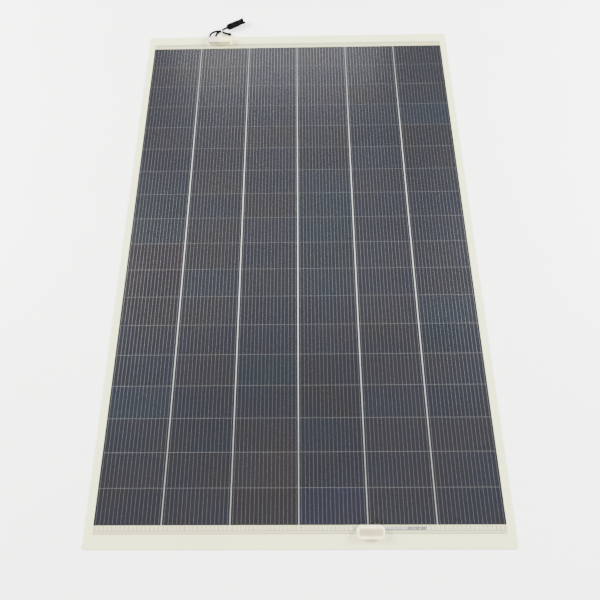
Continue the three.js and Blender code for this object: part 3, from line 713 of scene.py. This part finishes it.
def make_gland(node):
    low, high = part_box(node)
    axis = Vector(((low.x + high.x) / 2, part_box("far_box_base")[1].y, (low.z + high.z) / 2))
    outline = softened(GLAND_OUTLINE, 0.25)
    mesh = turned_mesh(node + "_boot", outline, looking_along(axis, (0, 1, 0)), 48)
    boot = link_mesh(node + "_boot", mesh, PAINTS["gland"], "panel")
    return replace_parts(boot, node)


END_CAP_OUTLINE = [
    # A heat-shrunk sleeve: a flared mouth, three faint wrinkles and a pinched nose.
    (0.3, 0.0), (0.3, 3.95), (-9, 3.95), (-9, 4.8), (-8.2, 4.55), (-6.4, 4.4), (-5.8, 4.6), (-5.2, 4.4),
    (-3.2, 4.42), (-2.6, 4.65), (-2.0, 4.42), (-0.4, 4.44), (0.2, 4.65), (0.8, 4.44), (2.0, 4.4),
    (3.2, 3.9), (4.0, 2.6), (4.0, 0.0),
]


def make_end_cap():
    last, before = Vector(NEGATIVE_ROUTE[-1]), Vector(NEGATIVE_ROUTE[-2])
    along = last - before
    along.z = 0
    outline = [(u, max(r, 0.02)) for u, r in softened(END_CAP_OUTLINE, 0.35, closed=False)]
    mesh = turned_mesh("end_cap_sleeve", outline, looking_along(last, along), 40)
    cap = link_mesh("end_cap_sleeve", mesh, PAINTS["end_cap"], "panel")
    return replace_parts(cap, "negative_lead_end_cap")


# The strap's section: share of its half width across, and mm out from the loop's outer face.
STRAP_SECTION = [
    (-1, -0.2), (-0.8, 0), (0.8, 0), (1, -0.2), (1, -0.6), (0.8, -0.8), (-0.8, -0.8), (-1, -0.6),
]
# The loop's outer half width and half height, and its corner radius, in mm.
LOOP_HALF = (6.6, 8.4)
LOOP_CORNER = 3.3


def make_tie():
    """A nylon tie: a strap drawn round both leads, a ratchet head on top and a cut tail."""
    low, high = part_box("cable_tie")
    x = (low.x + high.x) / 2
    half_strap = 1.8 * MM
    loop_top = low.z + 16.8 * MM
    loop_y = low.y + 6.6 * MM
    loop_z = loop_top - LOOP_HALF[1] * MM
    rings = []
    for dx, grow in STRAP_SECTION:
        half_width, half_height = ((half + grow) * MM for half in LOOP_HALF)
        loop_low = (loop_y - half_width, loop_z - half_height)
        loop_high = (loop_y + half_width, loop_z + half_height)
        radii = [(LOOP_CORNER + grow) * MM] * 4
        loop = rounded_corners(loop_low, loop_high, radii, 8)
        rings.append([Vector((x + dx * half_strap, y, z)) for y, z in loop])
    strap = loft_mesh("strap", rings, capped=False)
    head_low = (x - 2.8 * MM, loop_y - 1.7 * MM, loop_top - 0.6 * MM)
    head_high = (x + 2.8 * MM, loop_y + 3.7 * MM, high.z)
    head = block_mesh("head", head_low, head_high, 0.6 * MM)
    tail_path = [(3.5, 2.2), (6, 2.4), (8.5, 2.2), (10.8, 1.5)]
    tail_rings = []
    corners = ((-1.7, 0), (1.7, 0), (1.8, 0.3), (1.7, 0.8), (-1.7, 0.8), (-1.8, 0.3))
    for across, up in tail_path:
        y, z = loop_y + across * MM, loop_top + up * MM - 0.8 * MM
        tail_rings.append([Vector((x + dx * MM, y, z + dz * MM)) for dx, dz in corners])
    tail = loft_mesh("tail", tail_rings)
    tie = link_mesh("nylon_tie", joined("nylon_tie", [strap, head, tail]), PAINTS["tie"], "panel")
    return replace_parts(tie, "cable_tie")


# ------------------------------------------------------------------ connector

CONNECTOR_REAR = (-0.2743, 0.9227, 0.0105)
CONNECTOR_YAW = math.radians(29)
CONNECTOR = Matrix.Translation(CONNECTOR_REAR) @ Matrix.Rotation(CONNECTOR_YAW, 4, "Z")
NUT_OUTLINE = [
    (0, 3.9), (7, 3.9), (9, 8.3), (26, 8.3), (26, 9.5), (24.4, 9.7), (23.8, 10.3), (7.6, 10.3),
    (7.0, 9.7), (5, 9.5), (3, 9.0), (1.2, 7.8), (0, 6.1),
]
NUT_GRIP = (7.3, 24.1)
NUT_FLUTES = 14
SIDES_PER_FLUTE = 14
# A flute's depth as a share of the radius, and the radius in mm above which the grip is fluted.
FLUTE_DEPTH = 0.075
FLUTED_ABOVE = 9.9
HOUSING_OUTLINE = [
    (13, 6.8), (22, 6.8), (22, 2.3), (30, 2.3), (30, 5.2), (71, 5.2), (71, 6.4), (70.4, 7.0),
    (59.8, 7.0), (59.8, 6.2), (58.2, 6.2), (58.2, 7.0), (51.5, 7.0), (50.4, 7.4), (50, 9.3), (49.2, 10.1),
    (36.8, 10.1), (36.6, 9.5), (35.8, 9.5), (35.6, 10.1), (34.2, 10.1), (34.0, 9.5), (33.2, 9.5),
    (33.0, 10.1), (31.6, 10.1), (31.4, 9.5), (30.6, 9.5), (30.4, 10.1), (27.2, 10.1), (26.3, 9.5),
    (26.3, 7.9), (13, 7.9),
]
LATCH_POCKET = (37.8, 52.2)
LATCH_POCKET_FLOOR = 7.3
LATCH_POCKET_HALF_HEIGHT = 4.05
LATCH_HALF_HEIGHT = 3.75
LATCH_OUTLINE = [
    (38.5, 7.9), (50, 7.9), (54, 8.2), (60, 8.7), (66, 9.2), (75.5, 9.2), (74, 11.2), (68.5, 12.8),
    (66.5, 11.6), (62, 10.8), (54, 10.1), (38.5, 9.7),
]


def fluted(along, y, z, angle):
    """Presses the flutes into the nut's grip."""
    if not NUT_GRIP[0] < along < NUT_GRIP[1] or math.hypot(y, z) < FLUTED_ABOVE:
        return y, z
    wave = 0.5 - 0.5 * math.cos(NUT_FLUTES * angle)
    cut = 1 - FLUTE_DEPTH * wave**2
    return y * cut, z * cut


def pocketed(along, y, z, _angle):
    """Flattens the housing under both latches."""
    inside = LATCH_POCKET[0] < along < LATCH_POCKET[1]
    if inside and abs(z) < LATCH_POCKET_HALF_HEIGHT and abs(y) > LATCH_POCKET_FLOOR:
        return math.copysign(LATCH_POCKET_FLOOR, y), z
    return y, z


def with_steps(outline, places):
    """Adds a ring just before and just after each place along the outline's outer surface."""
    beside = [u + d for u in places for d in (-0.02, 0.02)]
    result = []
    for a, b in zip(outline, outline[1:] + outline[:1]):
        result.append(a)
        crossings = [u for u in beside if min(a[0], b[0]) < u < max(a[0], b[0])]
        if min(a[1], b[1]) > LATCH_POCKET_FLOOR:
            for u in sorted(crossings, reverse=b[0] < a[0]):
                t = (u - a[0]) / (b[0] - a[0])
                result.append((u, a[1] + t * (b[1] - a[1])))
    return result


def make_connector():
    nut_outline = [tuple(p) for p in softened(NUT_OUTLINE, 0.5)]
    nut_sides = SIDES_PER_FLUTE * NUT_FLUTES
    nut = turned_mesh("connector_nut_grip", nut_outline, CONNECTOR, nut_sides, reshape=fluted)
    nut = link_mesh("connector_nut_grip", nut, PAINTS["connector"], "gland_nut")
    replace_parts(nut, "connector_gland_nut")
    outline = with_steps([tuple(p) for p in softened(HOUSING_OUTLINE, 0.3)], LATCH_POCKET)
    body = turned_mesh("connector_body", outline, CONNECTOR, 180, reshape=pocketed)
    body = link_mesh("connector_body", body, PAINTS["connector"], "panel")
    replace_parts(body, "connector_housing")
    pieces = [nut, body]
    for side, turn in (("left", 0), ("right", math.pi)):
        place = CONNECTOR @ Matrix.Rotation(turn, 4, "X")
        name = f"connector_latch_arm_{side}"
        mesh = extruded_mesh(name, LATCH_OUTLINE, LATCH_HALF_HEIGHT, place, 0.35)
        arm = link_mesh(name, mesh, PAINTS["connector"], f"latch_{side}_arm")
        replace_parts(arm, f"connector_latch_{side}")
        pieces.append(arm)
    hidden = ("connector_gland_seal", "connector_clamp_collet", "connector_contact", "connector_o_ring")
    return pieces + list(hidden)


# ------------------------------------------------------------------ leads

LEAD_DIAMETER = 7.2 * MM
POSITIVE_ROUTE = [
    (-0.3160, 0.8620, 0.0086),
    (-0.3160, 0.8690, 0.0086),
    (-0.3160, 0.8750, 0.0086),
    (-0.3160, 0.8815, 0.0086),
    (-0.3152, 0.8874, 0.0089),
    (-0.3128, 0.8930, 0.0097),
    (-0.3090, 0.8979, 0.0108),
    (-0.3036, 0.9019, 0.0118),
    (-0.2966, 0.9060, 0.0122),
    (-0.2910, 0.9094, 0.0122),
    (-0.2855, 0.9140, 0.0116),
    (-0.2798, 0.9189, 0.0108),
    (-0.2743, 0.9227, 0.0105),
    (-0.2673, 0.9266, 0.0105),
    (-0.2568, 0.9324, 0.0105),
]
NEGATIVE_ROUTE = [
    (-0.3400, 0.8620, 0.0086),
    (-0.3400, 0.8690, 0.0086),
    (-0.3400, 0.8750, 0.0086),
    (-0.3400, 0.8820, 0.0086),
    (-0.3390, 0.8893, 0.0084),
    (-0.3360, 0.8962, 0.0078),
    (-0.3312, 0.9022, 0.0069),
    (-0.3250, 0.9070, 0.0059),
    (-0.3178, 0.9102, 0.0051),
    (-0.3100, 0.9114, 0.0048),
    (-0.3022, 0.9107, 0.0047),
    (-0.2949, 0.9079, 0.0048),
    (-0.2878, 0.9041, 0.0048),
    (-0.2810, 0.9007, 0.0048),
    (-0.2750, 0.8980, 0.0049),
    (-0.2688, 0.8959, 0.0050),
    (-0.2622, 0.8942, 0.0050),
]


def make_lead(name, route):
    path = smooth_path(route, 6)
    mesh = tube_mesh(name, path, LEAD_DIAMETER / 2)
    lead = link_mesh(name + "_sheath", mesh, PAINTS["lead"], "panel")
    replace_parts(lead, name)


positive_pieces = [make_gland("far_box_gland_2"), *make_connector()]
negative_pieces = [make_gland("far_box_gland_1"), make_tie(), make_end_cap()]
make_lead("positive_lead", POSITIVE_ROUTE)
make_lead("negative_lead", NEGATIVE_ROUTE)

# ------------------------------------------------------------------ clear front layers


def make_front_layers():
    """The film and the adhesive under it, as the one clear layer that they become when laminated."""
    mesh = nodes["front_sheet"].data.copy()
    film_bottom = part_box("front_sheet")[0].z
    adhesive_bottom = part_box("front_encapsulant")[0].z
    for vertex in mesh.vertices:
        if vertex.co.z < film_bottom + 0.01 * MM:
            vertex.co.z = adhesive_bottom
    mesh.materials.clear()
    layers = link_mesh("clear_front_layers", mesh, PAINTS["front_film"], "panel", smooth=False)
    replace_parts(layers, "front_sheet", "front_encapsulant")


make_front_layers()

# ------------------------------------------------------------------ cells and wires

STRINGS = 6
CELLS_PER_STRING = 18
WIRES_PER_CELL = 16
WIRE_WIDTH = 0.7 * MM
WIRE_RISE = 0.06 * MM
CELL_LENGTH = 91 * MM
CELL_GAP = 1 * MM
BASE_TINT = (0.0055, 0.0056, 0.0080)
# Column and row, both from 1 with row 1 at the output box, of the cells that stand out.
STANDOUT_TINTS = {
    (1, 8): (0.80, 1.10, 1.10),
    (1, 9): (0.85, 1.10, 1.08),
    (1, 10): (1.35, 0.95, 0.90),
    (1, 11): (1.20, 0.95, 0.95),
    (1, 12): (1.15, 0.95, 0.92),
    (1, 15): (0.85, 1.10, 1.20),
    (3, 8): (1.20, 1.00, 0.88),
    (3, 14): (0.82, 1.15, 1.10),
    (3, 17): (1.22, 1.00, 0.86),
    (3, 18): (1.30, 1.00, 0.84),
    (4, 8): (0.82, 1.12, 1.10),
    (4, 9): (0.82, 1.12, 1.12),
    (4, 10): (0.84, 1.12, 1.10),
    (4, 11): (0.86, 1.08, 1.12),
    (4, 18): (0.85, 0.92, 1.30),
    (5, 4): (0.85, 1.10, 1.18),
    (6, 4): (0.85, 1.10, 1.20),
    (6, 12): (0.86, 1.08, 1.20),
    (6, 13): (0.86, 1.08, 1.22),
}


def cell_tint(rng, column, row):
    warmth = rng.uniform(-0.10, 0.10)
    light = rng.uniform(0.88, 1.12)
    own = STANDOUT_TINTS.get((column, row), (1 + warmth, 1.0, 1 - warmth))
    return tuple(base * light * factor for base, factor in zip(BASE_TINT, own))


def add_slab(vertices, faces, x0, x1, y0, y1, z0, z1):
    first = len(vertices)
    vertices += [(x, y, z) for z in (z0, z1) for y in (y0, y1) for x in (x0, x1)]
    for face in ((0, 2, 3, 1), (4, 5, 7, 6), (0, 1, 5, 4), (1, 3, 7, 5), (3, 2, 6, 7), (2, 0, 4, 6)):
        faces.append(tuple(first + k for k in face))


def make_cells(rng):
    for column in range(1, STRINGS + 1):
        node = f"cell_string_{column}"
        low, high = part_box(node)
        vertices, faces, tints = [], [], []
        for row in range(1, CELLS_PER_STRING + 1):
            top = high.y - (row - 1) * (CELL_LENGTH + CELL_GAP)
            add_slab(vertices, faces, low.x, high.x, top - CELL_LENGTH, top, low.z, high.z - WIRE_RISE)
            tints += [cell_tint(rng, column, row)] * 6
        mesh = mesh_from(node + "_cells", vertices, faces)
        attribute = mesh.color_attributes.new("cell_tint", "FLOAT_COLOR", "CORNER")
        corner = 0
        for face, tint in zip(mesh.polygons, tints):
            for _ in face.loop_indices:
                attribute.data[corner].color = (*tint, 1)
                corner += 1
        cells = link_mesh(node + "_cells", mesh, PAINTS["cell"], "panel", smooth=False)
        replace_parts(cells, node)


def wire_places(column):
    """Where a string's wires lie across the sheet."""
    low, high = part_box(f"cell_string_{column}")
    pitch = (high.x - low.x) / WIRES_PER_CELL
    return [low.x + (wire + 0.5) * pitch for wire in range(WIRES_PER_CELL)]


def make_wires():
    """Sixteen flat-topped wires per string, run on to the bus ribbons at both ends."""
    near_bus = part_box("near_bus_ribbon_1")[0].y
    far_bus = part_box("far_bus_ribbon_1")[1].y
    half = WIRE_WIDTH / 2
    for column in range(1, STRINGS + 1):
        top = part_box(f"cell_string_{column}")[1].z
        vertices, faces = [], []
        for x in wire_places(column):
            base = top - WIRE_RISE
            add_slab(vertices, faces, x - half, x + half, near_bus, far_bus, base, top + 0.03 * MM)
        mesh = mesh_from(f"string_wires_{column}", vertices, faces)
        link_mesh(f"string_wires_{column}", mesh, PAINTS["wire"], "panel", smooth=False)


def make_solder_points(rng):
    """A small solder point per wire: just outside the cells at the near end, on the strip at the far end."""
    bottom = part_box("far_bus_cover_strip")[1].z + 0.01 * MM
    near_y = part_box("cell_string_1")[0].y - 5.4 * MM
    far_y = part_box("far_bus_cover_strip")[1].y - 1.2 * MM
    vertices, faces = [], []
    for column in range(1, STRINGS + 1):
        for wire_x in wire_places(column):
            for middle, half_length in ((near_y, 0.7 * MM), (far_y, 1.7 * MM)):
                x = wire_x + rng.uniform(-0.3, 0.3) * MM
                half = rng.uniform(0.5, 0.95) * MM
                reach = half_length * rng.uniform(0.7, 1.2)
                rise = rng.uniform(0.03, 0.06) * MM
                ends = (middle - reach, middle + reach)
                add_slab(vertices, faces, x - half, x + half, *ends, bottom, bottom + rise)
    mesh = mesh_from("solder_points", vertices, faces)
    link_mesh("solder_points", mesh, PAINTS["solder"], "panel", smooth=False)


make_cells(random.Random(11))
make_wires()
make_solder_points(random.Random(3))

# ------------------------------------------------------------------ stage and light


def make_stage():
    size = 12
    corners = [(-size, -size, 0), (size, -size, 0), (size, size, 0), (-size, size, 0)]
    mesh = mesh_from("floor", corners, [(0, 1, 2, 3)])
    floor = bpy.data.objects.new("floor", mesh)
    floor.location.z = -0.0004
    bpy.context.scene.collection.objects.link(floor)
    paint = Paint("floor", (0.83, 0.835, 0.84), 0.6)
    grain = paint.noise(3, 2.0)
    paint.colour(paint.mix(paint.spread(grain, 0, 1), (0.82, 0.82, 0.795), (0.84, 0.84, 0.815)))
    mesh.materials.append(paint.material)


def area_light(name, place, target, size, power, colour=(1, 1, 1)):
    data = bpy.data.lights.new(name, "AREA")
    data.shape = "RECTANGLE"
    data.size, data.size_y = size
    data.energy = power
    data.color = colour
    light = bpy.data.objects.new(name, data)
    light.location = place
    light.rotation_euler = (Vector(target) - Vector(place)).to_track_quat("-Z", "Y").to_euler()
    bpy.context.scene.collection.objects.link(light)


def make_light():
    world = bpy.data.worlds.new("world")
    world.use_nodes = True
    world.node_tree.nodes["Background"].inputs["Color"].default_value = (0.95, 0.97, 1.0, 1)
    world.node_tree.nodes["Background"].inputs["Strength"].default_value = 0.45
    bpy.context.scene.world = world
    area_light("left_key", (-5.1, 1.9, 2.3), (0, 0.4, 0), (2.4, 2.2), 2300, (1.0, 0.995, 0.98))
    area_light("right_key", (5.1, 1.9, 2.3), (0, 0.4, 0), (2.4, 2.2), 2300, (0.98, 0.99, 1.0))
    area_light("back_fill", (0.2, -4.8, 3.4), (0, 0, 0), (5, 2), 680, (1.0, 0.995, 0.985))
    area_light("window", (-0.4, 6.2, 3.6), (0, 0.4, 0), (3.6, 3.0), 57, (0.97, 0.985, 1.0))
    area_light("ceiling", (-0.3, 2.5, 4.0), (-0.3, 2.501, 0), (3.2, 3.8), 15, (0.97, 0.985, 1.0))


make_stage()
make_light()
